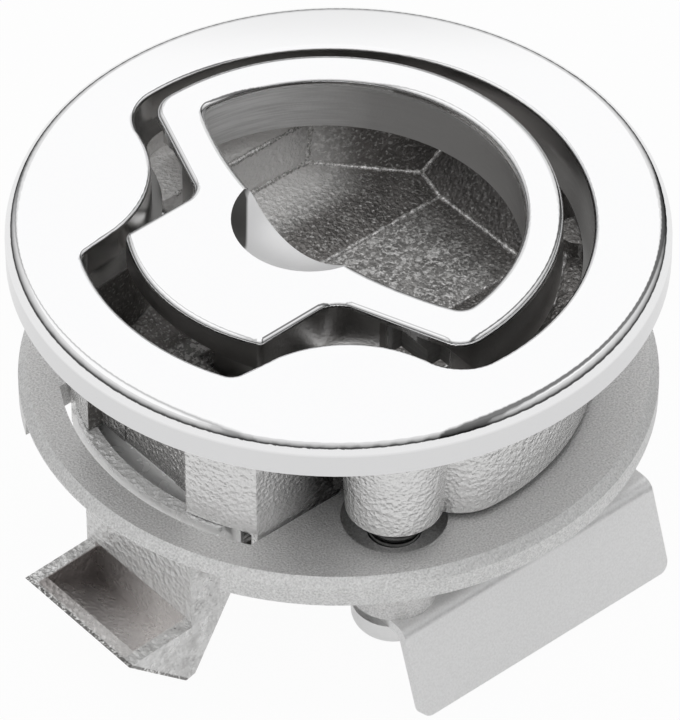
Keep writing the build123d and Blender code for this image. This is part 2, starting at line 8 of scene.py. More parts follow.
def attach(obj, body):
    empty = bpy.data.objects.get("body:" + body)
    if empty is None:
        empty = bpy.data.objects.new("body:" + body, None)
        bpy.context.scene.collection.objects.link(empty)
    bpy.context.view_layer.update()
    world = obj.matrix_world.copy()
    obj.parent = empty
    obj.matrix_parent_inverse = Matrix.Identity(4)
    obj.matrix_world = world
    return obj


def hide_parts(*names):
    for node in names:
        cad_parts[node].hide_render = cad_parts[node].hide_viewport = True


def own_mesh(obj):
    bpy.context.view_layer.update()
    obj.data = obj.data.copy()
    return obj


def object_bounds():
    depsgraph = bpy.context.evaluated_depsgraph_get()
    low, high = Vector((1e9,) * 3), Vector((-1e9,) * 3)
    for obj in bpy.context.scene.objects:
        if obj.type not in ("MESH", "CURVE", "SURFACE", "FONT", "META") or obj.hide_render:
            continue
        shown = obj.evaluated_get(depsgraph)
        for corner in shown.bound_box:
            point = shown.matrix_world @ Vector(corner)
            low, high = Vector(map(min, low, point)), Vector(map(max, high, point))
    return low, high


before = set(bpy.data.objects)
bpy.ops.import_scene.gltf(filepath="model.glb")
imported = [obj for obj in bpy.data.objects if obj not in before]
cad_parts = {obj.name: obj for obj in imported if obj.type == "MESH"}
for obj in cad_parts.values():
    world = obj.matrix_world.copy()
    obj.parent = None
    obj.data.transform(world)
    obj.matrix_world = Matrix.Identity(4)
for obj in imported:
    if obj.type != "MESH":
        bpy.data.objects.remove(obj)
cad_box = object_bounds()

# Camera, fitted to the photograph's circles. Lengths are metres, angles degrees.
PHOTO_WIDTH_PX = 680
PHOTO_HEIGHT_PX = 720
FOCAL_PX = 6290.0
CAMERA_DISTANCE = 0.600
CAMERA_ELEVATION = 42.55
LOOP_HEADING = 40.4
ORIGIN_PX = (338.56, 247.07)
SENSOR_WIDTH = 36.0

MM = 0.001
FLOOR_DROP = 0.1 * MM
FLOOR_SIZE = 4.0
FLOOR_GLOW_SEEN = 0.96
FLOOR_GLOW_REFLECTED = 0.6

# Levels of the light from the surroundings. The sky runs from the horizon and all below it, at 0,
# to straight up, at 1. The cards run from the part's left at 0 to its right at 1, and darken the sky there.
SKY_STOPS = ((0.0, 0.4), (0.02, 0.06), (0.13, 0.08), (0.2, 0.28), (0.42, 0.65), (0.59, 0.8), (0.606, 1.0))
CARD_STOPS = (
    (0.0, 1.0), (0.2, 1.0), (0.25, 0.5), (0.3, 1.0),
    (0.72, 1.0), (0.76, 0.2), (0.84, 0.2), (0.88, 1.0),
)

# Places where one finish gives way to another, in millimetres of the part's own frame
FLANGE_UNDERSIDE_MM = -0.12
RIM_TOP_MM = 2.5
RECESS_WALL_TOP_MM = 4.2
RECESS_RADIUS_MM = 27.4
WINDOW_X_MM = -22.9
WINDOW_HALF_WIDTH_MM = 7.4
CUP_FLOOR_HALF_WIDTH_MM = 6.45
CUP_FLOOR_MM = -8.3
NOOK_START_X_MM = -17.5
NOOK_END_X_MM = -7.5
NOOK_Y_MM = -16.5
HANDLE_WALL_TOP_MM = 5.0
HANDLE_CENTRE_X_MM = -2.0
LOOP_INNER_RADIUS_MM = 19.6
LOOP_INNER_TOP_MM = 5.15
LOOP_START_X_MM = -6.1
SCOOP_CENTRE_X_MM = -3.6
SCOOP_RADIUS_MM = 7.55
SCOOP_SHADED_WALL_FACES = (0.7615, -0.648)
RING_RIM_RADIUS_MM = 30.225
SHIELD_INNER_X_MM = -21.8
SHIELD_BOTTOM_MM = -19.4
BURR_FOOT_MM = -14.4
TONGUE_TOP_MM = -28.1
TONGUE_TIP_X_MM = -33.0
TONGUE_TIP_MM = -29.2
TONGUE_SLOPE = (0.674, 0.738)
POCKET_HALF_WIDTH_MM = 6.725
POCKET_BACK_X_MM = -25.175

# Screw shanks and the thread drawn on them
SCREW_X_MM = -10.2
SCREW_Y_MM = 20.1
SHANK_RADIUS_MM = 2.8
THREAD_PITCH_MM = 0.8
THREAD_TOP_MM = -5.0
THREAD_BOTTOM_MM = -24.6

# The bolt's return springs. The wire's radius is millimetres, the others are counts.
COIL_WIRE = 0.4
COIL_TURNS = 9
COIL_STEPS = 28
COIL_SIDES = 8

# The raised lines in the cup: size in millimetres, and how much and how fast their thickness and skin vary
BEAD_STEP = 0.3
BEAD_SIDES = 7
BEAD_RADIUS = 0.34
BEAD_MEAN = 0.75
BEAD_WANDER = 0.6
BEAD_WANDER_RATE = 2.1
BEAD_LUMPS = 0.35
BEAD_LUMP_RATE = 5.3

# Corners of the plate that closes the tail wall behind the window, in millimetres
WINDOW_FOOT_LOW = (-23.4, -7.28, -13.85)
WINDOW_FOOT_HIGH = (-22.7, 7.28, -10.3)

# Corners of the cup's facets on the loop's side, at plus y, in millimetres
FLOOR_END = (18.7, 6.5, -8.5)
FACET_MEETS_END = (19.19, 9.92, -7.90)
FACET_MEETS_SIDE = (10.57, 17.3, -6.6)
SHELF_CORNER = (11.71, 17.8, -2.0)
END_TOP = (22.2, 8.9, -4.2)
SHELF_FAR = (17.6, 13.0, -2.0)
SIDE_START = (-6.5, 17.3, -6.6)
SHELF_START = (-5.5, 17.8, -2.0)
FLOOR_START = (-3.0, 6.5, -8.5)

# Tones, as linear red, green and blue
POLISHED = (0.97, 0.97, 0.975)
CAST_DARK = (0.52, 0.515, 0.51)
TURNED = (0.78, 0.78, 0.78)
GLINT_WARM = (0.98, 0.97, 0.96)
GLINT = (0.98, 0.98, 0.975)
SHEET_PALE = (0.98, 0.98, 0.98)

POLISHED_ROUGHNESS = 0.045


def make_camera():
    heading = math.radians(LOOP_HEADING)
    elevation = math.radians(CAMERA_ELEVATION)
    right = Vector((math.cos(heading), -math.sin(heading), 0))
    away = Vector((math.sin(heading), math.cos(heading), 0))
    forward = away * math.cos(elevation) - Vector((0, 0, math.sin(elevation)))
    up = right.cross(forward)
    per_px = CAMERA_DISTANCE / FOCAL_PX
    offset_x = (ORIGIN_PX[0] - PHOTO_WIDTH_PX / 2) * per_px
    offset_y = (PHOTO_HEIGHT_PX / 2 - ORIGIN_PX[1]) * per_px
    place = -right * offset_x - up * offset_y - forward * CAMERA_DISTANCE
    data = bpy.data.cameras.new("photo_camera")
    data.sensor_fit = "HORIZONTAL"
    data.sensor_width = SENSOR_WIDTH
    data.lens = FOCAL_PX / PHOTO_WIDTH_PX * data.sensor_width
    data.clip_start = 0.01
    data.clip_end = 20.0
    camera = bpy.data.objects.new("photo_camera", data)
    bpy.context.scene.collection.objects.link(camera)
    rotation = Matrix((right, up, -forward)).transposed().to_4x4()
    camera.matrix_world = Matrix.Translation(place) @ rotation
    bpy.context.scene.camera = camera


class Finish:
    """A metal's shader under construction, with short calls for the nodes that it needs."""

    def __init__(self, name, base, roughness, metallic=1.0):
        self.material = bpy.data.materials.new(name)
        self.material.use_nodes = True
        self.nodes = self.material.node_tree.nodes
        self.links = self.material.node_tree.links
        self.shader = self.nodes["Principled BSDF"]
        self.shader.inputs["Base Color"].default_value = (*base, 1)
        self.shader.inputs["Metallic"].default_value = metallic
        self.shader.inputs["Roughness"].default_value = roughness
        texture_place = self.nodes.new("ShaderNodeTexCoord")
        self.place = texture_place.outputs["Object"]
        self.facing = texture_place.outputs["Normal"]
        self.normal = None

    def put(self, value, socket):
        """Links a node's output to the socket, or sets a number on it."""
        if hasattr(value, "links"):
            self.links.new(value, socket)
        else:
            socket.default_value = value

    def surface(self, tone=None, roughness=None, metallic=None):
        """Gives the shader these, each where it is named."""
        for value, name in ((tone, "Base Color"), (roughness, "Roughness"), (metallic, "Metallic")):
            if value is not None:
                self.put(value, self.shader.inputs[name])

    def math(self, operation, first, second=0.0):
        node = self.nodes.new("ShaderNodeMath")
        node.operation = operation
        self.put(first, node.inputs[0])
        self.put(second, node.inputs[1])
        return node.outputs[0]

    def spread(self, value, low, high, to_low=0.0, to_high=1.0):
        """Moves the value from the first range to the second, and holds it there past the ends."""
        node = self.nodes.new("ShaderNodeMapRange")
        self.put(value, node.inputs["Value"])
        node.inputs["From Min"].default_value = low
        node.inputs["From Max"].default_value = high
        node.inputs["To Min"].default_value = to_low
        node.inputs["To Max"].default_value = to_high
        return node.outputs["Result"]

    def above(self, value, limit, soft=0.1):
        """A mask that is 1 over the limit, softened by this much on both sides of it."""
        return self.spread(value, limit - soft, limit + soft)

    def below(self, value, limit, soft=0.1):
        """A mask that is 1 under the limit, softened by this much on both sides of it."""
        return self.spread(value, limit + soft, limit - soft)

    def mix(self, factor, first, second):
        node = self.nodes.new("ShaderNodeMix")
        node.data_type = "RGBA"
        self.put(factor, node.inputs["Factor"])
        self.put((*first, 1) if isinstance(first, tuple) else first, node.inputs[6])
        self.put((*second, 1) if isinstance(second, tuple) else second, node.inputs[7])
        return node.outputs[2]

    def axes_mm(self):
        scaled = self.nodes.new("ShaderNodeVectorMath")
        scaled.operation = "SCALE"
        scaled.inputs["Scale"].default_value = 1 / MM
        self.links.new(self.place, scaled.inputs[0])
        return self.apart(scaled.outputs[0])

    def apart(self, vector):
        split = self.nodes.new("ShaderNodeSeparateXYZ")
        self.links.new(vector, split.inputs[0])
        return split.outputs

    def reach(self, first, second):
        """The length of the vector with these two parts."""
        squares = self.math("ADD", self.math("POWER", first, 2.0), self.math("POWER", second, 2.0))
        return self.math("SQRT", squares)

    def size(self, value):
        return self.math("ABSOLUTE", value)

    def both(self, *masks):
        result = masks[0]
        for mask in masks[1:]:
            result = self.math("MULTIPLY", result, mask)
        return result

    def either(self, first, second):
        return self.math("MAXIMUM", first, second)

    def total(self, *parts):
        result = parts[0]
        for part in parts[1:]:
            result = self.math("ADD", result, part)
        return result

    def other(self, mask):
        return self.math("SUBTRACT", 1.0, mask)

    def stretched(self, scale):
        mapping = self.nodes.new("ShaderNodeMapping")
        mapping.inputs["Scale"].default_value = scale
        self.links.new(self.place, mapping.inputs["Vector"])
        return mapping.outputs["Vector"]

    def noise(self, size_mm, detail=3.0, distortion=0.0, vector=None):
        node = self.nodes.new("ShaderNodeTexNoise")
        node.inputs["Scale"].default_value = 1.0 / (size_mm * MM)
        node.inputs["Detail"].default_value = detail
        node.inputs["Distortion"].default_value = distortion
        self.links.new(vector or self.place, node.inputs["Vector"])
        return node.outputs["Fac"]

    def dimples(self, size_mm):
        node = self.nodes.new("ShaderNodeTexVoronoi")
        node.feature = "F1"
        node.inputs["Scale"].default_value = 1.0 / (size_mm * MM)
        self.links.new(self.place, node.inputs["Vector"])
        return node.outputs["Distance"]

    def bump(self, height, depth_mm, strength=1.0):
        node = self.nodes.new("ShaderNodeBump")
        self.put(strength, node.inputs["Strength"])
        node.inputs["Distance"].default_value = depth_mm * MM
        self.links.new(height, node.inputs["Height"])
        if self.normal is not None:
            self.links.new(self.normal, node.inputs["Normal"])
        self.normal = node.outputs["Normal"]

    def done(self):
        if self.normal is not None:
            self.links.new(self.normal, self.shader.inputs["Normal"])
        return self.material


def cast_skin(finish, amount, dimple_mm, dimple_depth, grain_mm, grain_depth):
    """The tumbled, hammered look of an unpolished casting: soft dimples under a fine grain."""
    finish.bump(finish.dimples(dimple_mm), dimple_depth, amount)
    finish.bump(finish.noise(grain_mm, detail=2.0), grain_depth, amount)


def facing_in(finish, axes, face):
    """Towards 1 on walls that face the axis and on floors, towards 0 on walls that face away from it."""
    across = finish.total(finish.both(axes["X"], face["X"]), finish.both(axes["Y"], face["Y"]))
    outward = finish.math("DIVIDE", across, finish.total(finish.reach(axes["X"], axes["Y"]), 0.001))
    tip = finish.math("SUBTRACT", finish.both(face["Z"], 0.6), outward)
    return finish.spread(tip, 0.0, 0.12)


def body_finish():
    """Mirror polish on the face, satin recess walls, and a rough casting in the cup and below the flange,
    with painted light, painted glints and painted shade.
    """
    finish = Finish("polished_and_cast_body", POLISHED, 0.05)
    axes = finish.axes_mm()
    face = finish.apart(finish.facing)
    inside = facing_in(finish, axes, face)
    below = finish.below(axes["Z"], FLANGE_UNDERSIDE_MM)
    low = finish.below(axes["Z"], RECESS_WALL_TOP_MM)
    near = finish.below(finish.reach(axes["X"], axes["Y"]), RECESS_RADIUS_MM)
    wall = finish.both(inside, low, near)
    outer = finish.both(below, finish.other(inside))
    window = finish.both(
        outer, finish.below(axes["X"], WINDOW_X_MM),
        finish.below(finish.size(axes["Y"]), WINDOW_HALF_WIDTH_MM, soft=0.05),
    )
    under = finish.both(outer, finish.below(face["Z"], -0.55, soft=0.15))

    patch = finish.noise(2.6, detail=2.0)
    spark = finish.spread(finish.noise(0.3, detail=1.0), 0.58, 0.66)
    glint = finish.spread(finish.noise(0.55, detail=2.0, distortion=0.6), 0.53, 0.60)
    # The recess walls are darker towards the top. Their upward faces under the handle carry painted shade.
    wall_tone = finish.mix(finish.spread(axes["Z"], 4.0, -1.5), CAST_DARK, (0.86, 0.85, 0.84))
    wall_tone = finish.mix(finish.above(face["Z"], 0.6, soft=0.2), wall_tone, (0.16, 0.158, 0.155))

    # The cup: painted dark for the shade under the handle, with painted light on its side at plus y and on
    # its floor.
    lit_side = finish.both(finish.above(axes["Y"], 13.0, soft=2.0), finish.below(axes["X"], 12.0, soft=3.0))
    lit_floor = finish.both(
        finish.below(finish.size(axes["Y"]), CUP_FLOOR_HALF_WIDTH_MM, soft=0.25),
        finish.below(axes["Z"], CUP_FLOOR_MM), finish.below(axes["X"], 15.25, soft=2.25), 0.75,
    )
    lit = finish.both(finish.either(lit_side, lit_floor), inside, below)
    cup_tone = finish.mix(patch, (0.12, 0.115, 0.11), (0.34, 0.325, 0.315))
    cup_tone = finish.mix(lit, cup_tone, finish.mix(patch, (0.14, 0.137, 0.134), (0.62, 0.61, 0.60)))
    cup_tone = finish.mix(finish.both(lit_side, inside, below), cup_tone, (0.97, 0.96, 0.95))
    # Painted glints on the lit parts, and painted sparkle specks over the whole cup, strongest on the lit
    # parts.
    cup_tone = finish.mix(finish.both(lit, glint), cup_tone, GLINT_WARM)
    cup_tone = finish.mix(finish.both(spark, finish.either(lit, 0.4)), cup_tone, GLINT_WARM)
    # Painted shade at the cup's far end, from x 17 mm on.
    cup_tone = finish.mix(finish.spread(axes["X"], 17.0, 20.0, 0.0, 0.6), cup_tone, (0.05, 0.049, 0.048))

    # The outer casting: pale, with painted shade in the corner between the housing and the near boss
    cast_tone = finish.mix(patch, (0.84, 0.835, 0.83), GLINT)
    nook_shade = finish.both(
        outer, finish.below(face["Y"], -0.45, soft=0.15), finish.above(axes["X"], NOOK_START_X_MM, soft=3.0),
        finish.above(axes["Y"], NOOK_Y_MM, soft=1.0), finish.below(axes["X"], NOOK_END_X_MM, soft=0.5),
    )
    cast_tone = finish.mix(nook_shade, cast_tone, (0.08, 0.078, 0.076))
    # Painted shade with painted glints in the window below the flange, and plain painted shade on the
    # undersides that face down.
    shade_and_glint_tone = finish.mix(spark, (0.40, 0.395, 0.39), (0.90, 0.89, 0.88))
    shade_and_glint_tone = finish.mix(under, shade_and_glint_tone, (0.12, 0.118, 0.115))
    # The flange's rim wall below 2.5 mm carries painted shade, darker than the polished face.
    rim = finish.both(
        finish.below(axes["Z"], RIM_TOP_MM, soft=0.2), finish.below(face["Z"], 0.2), finish.other(inside)
    )
    tone = finish.mix(rim, POLISHED, (0.80, 0.80, 0.805))
    tone = finish.mix(wall, tone, wall_tone)
    tone = finish.mix(finish.both(wall, below), tone, cup_tone)
    tone = finish.mix(outer, tone, cast_tone)
    tone = finish.mix(finish.either(window, under), tone, shade_and_glint_tone)

    cast = finish.either(outer, finish.both(wall, below))
    uneven = finish.spread(patch, 0.3, 0.7, 0.10, 0.20)
    finish.surface(
        tone,
        roughness=finish.total(POLISHED_ROUGHNESS, finish.both(cast, uneven), finish.both(wall, 0.16)),
        metallic=finish.other(finish.total(finish.both(cast, 0.33), finish.both(lit, 0.35))),
    )
    cast_skin(finish, cast, dimple_mm=0.5, dimple_depth=0.11, grain_mm=0.22, grain_depth=0.09)
    return finish.done()


def handle_finish():
    """Mirror polish on top, with a brushed wall inside the loop, a duller outer wall and a satin scoop. The
    loop's wall carries painted shading, and the scoop's wall painted shade.
    """
    finish = Finish("polished_handle", POLISHED, 0.05)
    axes = finish.axes_mm()
    face = finish.apart(finish.facing)
    from_centre = finish.math("SUBTRACT", axes["X"], HANDLE_CENTRE_X_MM)
    steep = finish.below(face["Z"], 0.225, soft=0.075)
    inside = finish.below(finish.reach(from_centre, axes["Y"]), LOOP_INNER_RADIUS_MM, soft=0.15)
    front = finish.above(axes["X"], LOOP_START_X_MM, soft=0.5)
    below = finish.below(axes["Z"], LOOP_INNER_TOP_MM, soft=0.2)
    loop_wall = finish.both(inside, front, below, steep)
    outer_wall = finish.both(finish.other(loop_wall), steep, finish.below(axes["Z"], HANDLE_WALL_TOP_MM))

    # The scoop's wall on the side away from the loop carries painted shade.
    from_scoop = finish.math("SUBTRACT", axes["X"], SCOOP_CENTRE_X_MM)
    in_scoop = finish.both(
        finish.below(finish.reach(from_scoop, axes["Y"]), SCOOP_RADIUS_MM, soft=0.05),
        finish.other(steep), finish.below(face["Z"], 0.99, soft=0.005),
    )
    lean = finish.total(
        finish.both(face["X"], SCOOP_SHADED_WALL_FACES[0]), finish.both(face["Y"], SCOOP_SHADED_WALL_FACES[1])
    )
    crescent_shade = finish.both(in_scoop, finish.above(lean, 0.495, soft=0.01))

    lines = finish.noise(0.5, detail=2.0, vector=finish.stretched((0.12, 0.12, 2.2)))
    # Painted shading along the loop's inner wall: pale at plus y, darker towards minus y.
    across = finish.mix(finish.spread(axes["Y"], 19.0, 11.0), SHEET_PALE, (0.48, 0.475, 0.47))
    across = finish.mix(finish.spread(axes["Y"], 12.0, -14.0), across, (0.26, 0.255, 0.25))
    loop_tone = finish.mix(finish.spread(lines, 0.35, 0.65), across, (0.40, 0.395, 0.39))
    loop_tone = finish.mix(0.65, loop_tone, across)
    outer_tone = finish.mix(finish.spread(axes["Z"], 5.0, -1.0), (0.44, 0.435, 0.43), (0.86, 0.85, 0.84))
    tone = finish.mix(loop_wall, POLISHED, loop_tone)
    tone = finish.mix(outer_wall, tone, outer_tone)
    tone = finish.mix(crescent_shade, tone, (0.07, 0.068, 0.066))

    dull = finish.either(loop_wall, outer_wall)
    finish.surface(
        tone,
        roughness=finish.total(POLISHED_ROUGHNESS, finish.both(dull, 0.24), finish.both(in_scoop, 0.3)),
        metallic=finish.other(finish.either(finish.both(loop_wall, 0.7), finish.both(in_scoop, 0.75))),
    )
    finish.bump(lines, 0.03, loop_wall)
    finish.bump(finish.noise(0.3, detail=2.0), 0.03, dull)
    return finish.done()


def ring_finish():
    """A matte sand casting, with a painted highlight on its rounded lip."""
    finish = Finish("sand_cast_ring", (0.6, 0.6, 0.59), 0.42, metallic=0.5)
    axes = finish.axes_mm()
    face = finish.apart(finish.facing)
    rim = finish.above(finish.reach(axes["X"], axes["Y"]), RING_RIM_RADIUS_MM, soft=0.125)
    lip = finish.both(finish.below(face["Z"], 0.91, soft=0.06), finish.above(face["Z"], 0.2))
    grain = finish.noise(0.2, detail=3.0)
    speck = finish.spread(grain, 0.3, 0.7)
    top = finish.mix(speck, (0.60, 0.595, 0.59), (0.98, 0.975, 0.97))
    edge = finish.mix(speck, (0.62, 0.62, 0.615), GLINT)
    # The lip's pale tone is a painted highlight.
    bright = finish.mix(speck, (0.66, 0.66, 0.655), GLINT)
    finish.surface(
        finish.mix(lip, finish.mix(rim, top, edge), bright),
        roughness=finish.spread(rim, 0.0, 1.0, 0.42, 0.34),
    )
    finish.bump(grain, 0.07)
    finish.bump(finish.noise(1.6, detail=2.0), 0.08)
    return finish.done()


def bolt_finish():
    """A tumbled casting with painted glints, a smooth shield with a rough, ragged top edge that carries a
    painted highlight, a pocketed tongue with painted shade in its pocket, and a web painted bright as a
    painted highlight.
    """
    finish = Finish("tumbled_bolt", (0.66, 0.655, 0.65), 0.26)
    axes = finish.axes_mm()
    face = finish.apart(finish.facing)
    shield = finish.both(
        finish.below(axes["X"], SHIELD_INNER_X_MM), finish.above(axes["Z"], SHIELD_BOTTOM_MM)
    )
    # A ragged rough edge runs along the shield's top and carries a painted highlight.
    ragged = finish.total(axes["Z"], finish.spread(finish.noise(0.9, detail=2.0), 0.3, 0.7, -0.4, 0.4))
    burr_and_highlight = finish.both(shield, finish.above(ragged, BURR_FOOT_MM, soft=0.05))

    # The tongue's sloped front has a pitted rim with painted glints round a smoother pocket, which carries
    # painted shade, darker towards plus y.
    # Depth is measured behind the slope.
    low = finish.below(axes["Z"], TONGUE_TOP_MM)
    depth = finish.total(
        finish.both(finish.math("SUBTRACT", axes["X"], TONGUE_TIP_X_MM), TONGUE_SLOPE[0]),
        finish.both(finish.math("SUBTRACT", axes["Z"], TONGUE_TIP_MM), TONGUE_SLOPE[1]),
    )
    front = finish.both(low, finish.below(depth, 0.3, soft=0.05))
    pocket = finish.both(
        low, finish.above(depth, 0.35),
        finish.below(finish.size(axes["Y"]), POCKET_HALF_WIDTH_MM, soft=0.075),
        finish.below(axes["X"], POCKET_BACK_X_MM, soft=0.075),
    )
    web = finish.both(finish.other(low), finish.below(face["X"], -0.6))

    patch = finish.noise(1.5, detail=2.0)
    spark = finish.spread(finish.noise(0.28, detail=1.0), 0.52, 0.62)
    tone = finish.mix(finish.spread(patch, 0.3, 0.7), (0.62, 0.615, 0.61), (0.96, 0.96, 0.955))
    # Painted glints scattered over the casting.
    tone = finish.mix(finish.both(spark, 0.4), tone, GLINT)
    tone = finish.mix(front, tone, finish.mix(spark, (0.28, 0.275, 0.27), (0.98, 0.98, 0.97)))
    pocket_shade = finish.mix(finish.spread(axes["Y"], 6.0, -3.0), (0.39, 0.365, 0.355), (0.91, 0.89, 0.88))
    tone = finish.mix(pocket, tone, pocket_shade)
    tone = finish.mix(shield, tone, (0.93, 0.93, 0.925))
    tone = finish.mix(burr_and_highlight, tone, GLINT)
    # The web that faces minus x is painted bright, a painted highlight.
    tone = finish.mix(web, tone, GLINT)

    dull = finish.either(finish.both(shield, 0.35), finish.both(web, 0.45))
    finish.surface(
        tone,
        roughness=finish.spread(patch, 0.3, 0.7, 0.18, 0.30),
        metallic=finish.math("SUBTRACT", 0.75, dull),
    )
    smooth = finish.either(finish.both(shield, finish.other(burr_and_highlight)), finish.both(pocket, 0.6))
    rough_share = finish.spread(smooth, 0.0, 1.0, 1.0, 0.1)
    cast_skin(finish, rough_share, dimple_mm=0.6, dimple_depth=0.16, grain_mm=0.26, grain_depth=0.10)
    return finish.done()


def bracket_finish():
    finish = Finish("satin_sheet", (0.80, 0.80, 0.80), 0.38, metallic=0.6)
    specks = finish.noise(0.22, detail=3.0)
    finish.surface(
        finish.mix(finish.spread(specks, 0.35, 0.65), (0.88, 0.88, 0.88), SHEET_PALE),
        roughness=finish.spread(specks, 0.3, 0.7, 0.30, 0.44),
    )
    finish.bump(specks, 0.02)
    return finish.done()


def turned_finish():
    """Bright turned steel, with a thread drawn round the shanks of the two screws and painted shade in its
    valleys.
    """
    finish = Finish("turned_steel", TURNED, 0.2)
    axes = finish.axes_mm()
    lines = finish.noise(0.3, detail=2.0, vector=finish.stretched((1.0, 1.0, 5.0)))
    side = finish.math("SIGN", axes["Y"])
    across = finish.math("SUBTRACT", axes["X"], SCREW_X_MM)
    along = finish.math("SUBTRACT", axes["Y"], finish.both(side, SCREW_Y_MM))
    shank = finish.both(
        finish.below(finish.reach(across, along), SHANK_RADIUS_MM),
        finish.below(axes["Z"], THREAD_TOP_MM), finish.above(axes["Z"], THREAD_BOTTOM_MM),
    )

    # The height along the thread runs on round the shank. The 100 turns only keep it above nought.
    turns = finish.math("DIVIDE", finish.math("ARCTAN2", along, across), 2 * math.pi)
    pitches = finish.math("DIVIDE", axes["Z"], THREAD_PITCH_MM)
    ridge = finish.math("PINGPONG", finish.total(turns, pitches, 100.0), 0.5)
    # The thread's valleys carry painted shade.
    groove_shade = finish.both(shank, finish.spread(ridge, 0.25, 0.05))
    finish.surface(
        finish.mix(groove_shade, TURNED, (0.05, 0.05, 0.05)), roughness=finish.spread(lines, 0.3, 0.7, 0.14, 0.28)
    )
    finish.bump(ridge, 0.35, shank)
    finish.bump(lines, 0.008)
    return finish.done()


def wire_finish():
    finish = Finish("spring_wire", (0.62, 0.61, 0.60), 0.25)
    draw = finish.noise(0.5, detail=2.0)
    finish.surface(finish.mix(draw, (0.52, 0.51, 0.50), (0.70, 0.70, 0.69)))
    finish.bump(draw, 0.01)
    return finish.done()


def bead_finish():
    finish = Finish("edge_highlight_bead", (0.8, 0.79, 0.78), 0.3, metallic=0.6)
    fleck = finish.spread(finish.noise(0.22, detail=2.0), 0.4, 0.6)
    # Pale with flecks, as painted highlights along the cup's facet edges.
    finish.surface(finish.mix(fleck, (0.46, 0.45, 0.44), GLINT_WARM))
    finish.bump(finish.noise(0.25, detail=2.0), 0.08)
    return finish.done()


def add_piece(name, vertices, faces, material, smooth=True):
    """A piece of the scene's own, from points in millimetres. Its faces turn outwards."""
    mesh = bpy.data.meshes.new(name)
    mesh.from_pydata([tuple(Vector(vertex) * MM) for vertex in vertices], [], faces)
    shape = bmesh.new()
    shape.from_mesh(mesh)
    bmesh.ops.recalc_face_normals(shape, faces=shape.faces)
    shape.to_mesh(mesh)
    shape.free()
    for polygon in mesh.polygons:
        polygon.use_smooth = smooth
    mesh.materials.append(material)
    piece = bpy.data.objects.new(name, mesh)
    bpy.context.scene.collection.objects.link(piece)
    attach(piece, "housing")
    return piece


def join_rings(faces, first, rings, sides):
    """Closes a row of rings of points into a tube with both its ends capped."""
    for ring in range(rings - 1):
        for turn in range(sides):
            a = first + ring * sides + turn
            b = first + ring * sides + (turn + 1) % sides
            faces.append((a, b, b + sides, a + sides))
    faces.append(tuple(first + turn for turn in reversed(range(sides))))
    faces.append(tuple(first + (rings - 1) * sides + turn for turn in range(sides)))


def window_foot(material):
    """The lower part of the tail wall behind the window, closed down to the bolt."""
    spans = list(zip(WINDOW_FOOT_LOW, WINDOW_FOOT_HIGH))
    corners = [(x, y, z) for x in spans[0] for y in spans[1] for z in spans[2]]
    sides = [(0, 1, 3, 2), (4, 6, 7, 5), (0, 4, 5, 1), (2, 3, 7, 6), (0, 2, 6, 4), (1, 5, 7, 3)]
    add_piece("window_foot", corners, sides, material, smooth=False)


def bolt_coil(name, rigid_name, material):
    """A coil with closed ends in place of the part's own spring, which is rigid and is hidden."""
    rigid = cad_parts[rigid_name]
    corners = [rigid.matrix_world @ Vector(corner) / MM for corner in rigid.bound_box]
    low = [min(corner[axis] for corner in corners) for axis in range(3)]
    high = [max(corner[axis] for corner in corners) for axis in range(3)]
    middle_y = (low[1] + high[1]) / 2
    middle_z = (low[2] + high[2]) / 2
    radius = (high[2] - low[2]) / 2 - COIL_WIRE
    start = low[0] + COIL_WIRE
    closed = 2 * COIL_WIRE
    open_length = high[0] - low[0] - 2 * COIL_WIRE - 2 * closed
    vertices = []
    faces = []
    rings = COIL_TURNS * COIL_STEPS + 1
    for count in range(rings):
        turn = count / COIL_STEPS
        closed_turns = min(turn, 1) + max(turn - COIL_TURNS + 1, 0)
        open_share = min(max((turn - 1) / (COIL_TURNS - 2), 0), 1)
        angle = 2 * math.pi * turn
        outward = Vector((0, math.cos(angle), math.sin(angle)))
        centre = Vector((start + closed * closed_turns + open_length * open_share, middle_y, middle_z))
        centre += outward * radius
        for side in range(COIL_SIDES):
            round_wire = 2 * math.pi * side / COIL_SIDES
            spoke = outward * math.cos(round_wire) + Vector((1, 0, 0)) * math.sin(round_wire)
            vertices.append(centre + spoke * COIL_WIRE)
    join_rings(faces, 0, rings, COIL_SIDES)
    coil = add_piece(name, vertices, faces, material)
    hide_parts(rigid_name)
    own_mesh(coil)


def mirrored(point):
    return (point[0], -point[1], point[2])


def cup_beads():
    """Raised rough lines where the cup's facets meet, pale and flecked as painted highlights along those
    edges.
    """
    one_side = (
        (SIDE_START, FACET_MEETS_SIDE, FACET_MEETS_END, FLOOR_END),
        (FACET_MEETS_SIDE, SHELF_CORNER),
        (FACET_MEETS_END, END_TOP),
        (SHELF_START, SHELF_CORNER, SHELF_FAR),
        (FLOOR_START, FLOOR_END),
    )
    paths = list(one_side) + [tuple(mirrored(point) for point in path) for path in one_side]
    paths.append((FLOOR_END, mirrored(FLOOR_END)))
    vertices = []
    faces = []
    for path in paths:
        add_bead(vertices, faces, [Vector(point) for point in path])
    add_piece("cup_beads", vertices, faces, bead_finish())


